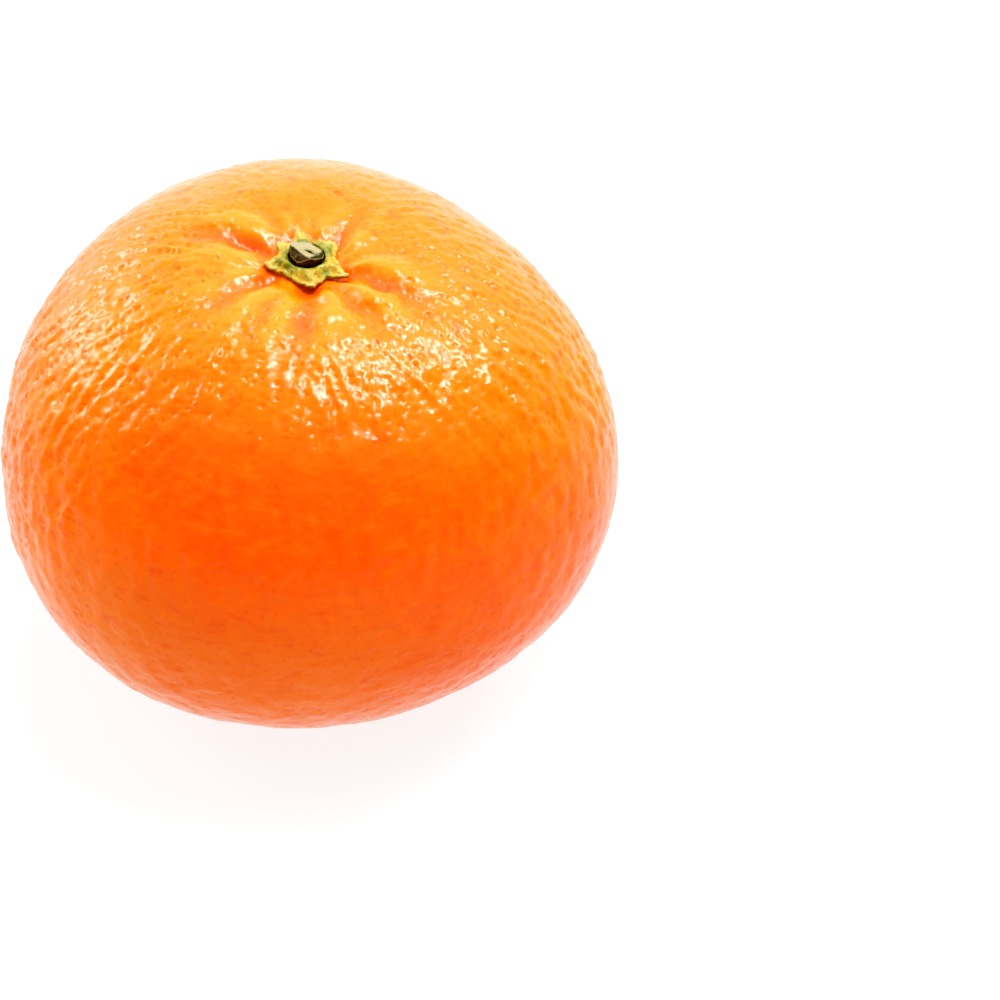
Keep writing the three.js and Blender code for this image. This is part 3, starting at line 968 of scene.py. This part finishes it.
def studio_light(all_round, behind, above):
    """Light from all round, brighter behind the fruit and above it."""
    world = bpy.data.worlds.new("studio")
    world.use_nodes = True
    nodes, links = world.node_tree.nodes, world.node_tree.links
    towards = nodes.new("ShaderNodeSeparateXYZ")
    links.new(nodes.new("ShaderNodeTexCoord").outputs["Generated"], towards.inputs["Vector"])

    def glow(axis, low, high, strength):
        """Rises smoothly from nothing to a strength along an axis."""
        rise = nodes.new("ShaderNodeMapRange")
        rise.interpolation_type = "SMOOTHSTEP"
        links.new(towards.outputs[axis], rise.inputs["Value"])
        for socket, value in {"From Min": low, "From Max": high, "To Min": 0.0, "To Max": strength}.items():
            rise.inputs[socket].default_value = value
        return rise.outputs["Result"]

    total = nodes.new("ShaderNodeMath")
    total.operation = "ADD"
    links.new(glow("Y", -0.1, 0.6, behind), total.inputs[0])
    links.new(glow("Z", 0.3, 0.9, above), total.inputs[1])
    whole = nodes.new("ShaderNodeMath")
    whole.operation = "ADD"
    links.new(total.outputs["Value"], whole.inputs[0])
    whole.inputs[1].default_value = all_round
    background = nodes["Background"]
    background.inputs["Color"].default_value = (1.0, 1.0, 1.0, 1.0)
    links.new(whole.outputs["Value"], background.inputs["Strength"])
    return world


def deepen_shadows(view, toe, blue_toe):
    """Contrast curves that darken what is dimmer than about the toe, blue most, and leave white as it is."""
    view.use_curve_mapping = True
    for curve, bend in ((view.curve_mapping.curves[3], toe), (view.curve_mapping.curves[2], blue_toe)):
        for x in (0.01, 0.02, 0.04, 0.07, 0.12, 0.2, 0.35, 0.6):
            curve.points.new(x, (1.0 + bend) * x * x / (x + bend))
    view.curve_mapping.update()


class MANDARIN_OT_stage(bpy.types.Operator):
    """Build the floor, the lights and the camera"""

    bl_idname = "mandarin.stage"
    bl_label = "Build Stage"

    FLOOR_SIZE = 4.0
    FLOOR_GAP = 0.05 * MM

    def execute(self, context):
        settings = context.scene.mandarin
        stage, fruit = settings.stage, settings.fruit
        shift = frame_shift(fruit)
        middle = Vector((shift[0], shift[1], fruit.base - fruit.flat))

        half, level = self.FLOOR_SIZE / 2.0, -self.FLOOR_GAP
        mesh = bpy.data.meshes.new("floor")
        corners = [(-half, -half, level), (half, -half, level), (half, half, level), (-half, half, level)]
        mesh.from_pydata(corners, [], [(0, 1, 2, 3)])
        mesh.materials.append(floor_finish(list(stage.floor), stage.floor_glow))
        floor = bpy.data.objects.new("floor", mesh)
        context.scene.collection.objects.link(floor)

        for lamp in LAMPS:
            soft_box(target=middle, **lamp)
        context.scene.world = studio_light(**STUDIO)
        context.scene.view_settings.view_transform = "Standard"
        deepen_shadows(context.scene.view_settings, **TOES)

        up = Vector((0.0, math.sin(stage.elevation), math.cos(stage.elevation)))
        back = Vector((0.0, -math.cos(stage.elevation), math.sin(stage.elevation)))
        camera = bpy.data.objects.new("camera", bpy.data.cameras.new("camera"))
        camera.data.lens = stage.lens
        camera.location = middle + Vector((stage.aside, 0.0, 0.0)) - stage.above * up + stage.distance * back
        camera.rotation_euler = back.to_track_quat("Z", "Y").to_euler()
        camera.data.clip_start, camera.data.clip_end = 0.01, 20.0
        context.scene.collection.objects.link(camera)
        context.scene.camera = camera
        return {"FINISHED"}


class MANDARIN_PT_panel(bpy.types.Panel):
    """Lists the mandarin's settings and what builds each piece"""

    bl_label = "Mandarin"
    bl_idname = "MANDARIN_PT_panel"
    bl_space_type = "VIEW_3D"
    bl_region_type = "UI"
    bl_category = "Mandarin"

    def draw(self, context):
        settings = context.scene.mandarin
        for heading, group, operators in (
            ("Fruit", settings.fruit, ()),
            ("Peel", settings.peel, (MANDARIN_OT_peel,)),
            ("Calyx", settings.calyx, (MANDARIN_OT_calyx,)),
            ("Stem", settings.stem, (MANDARIN_OT_stem,)),
            ("Stage", settings.stage, (MANDARIN_OT_stage,)),
        ):
            box = self.layout.box()
            box.label(text=heading)
            for key in group.bl_rna.properties.keys():
                if key not in ("rna_type", "name"):
                    box.prop(group, key)
            for operator in operators:
                box.operator(operator.bl_idname)


CLASSES = (
    FruitSettings,
    PeelColours,
    CalyxSettings,
    StemSettings,
    StageSettings,
    MandarinSettings,
    MANDARIN_OT_peel,
    MANDARIN_OT_calyx,
    MANDARIN_OT_stem,
    MANDARIN_OT_stage,
    MANDARIN_PT_panel,
)


def register():
    for made in CLASSES:
        bpy.utils.register_class(made)
    bpy.types.Scene.mandarin = PointerProperty(type=MandarinSettings)


def unregister():
    del bpy.types.Scene.mandarin
    for made in reversed(CLASSES):
        bpy.utils.unregister_class(made)


def main():
    """Registers the add-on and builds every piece."""
    register()
    bpy.ops.mandarin.peel()
    bpy.ops.mandarin.calyx()
    bpy.ops.mandarin.stem()
    bpy.ops.mandarin.stage()
    bpy.context.view_layer.update()


if __name__ == "__main__":
    main()
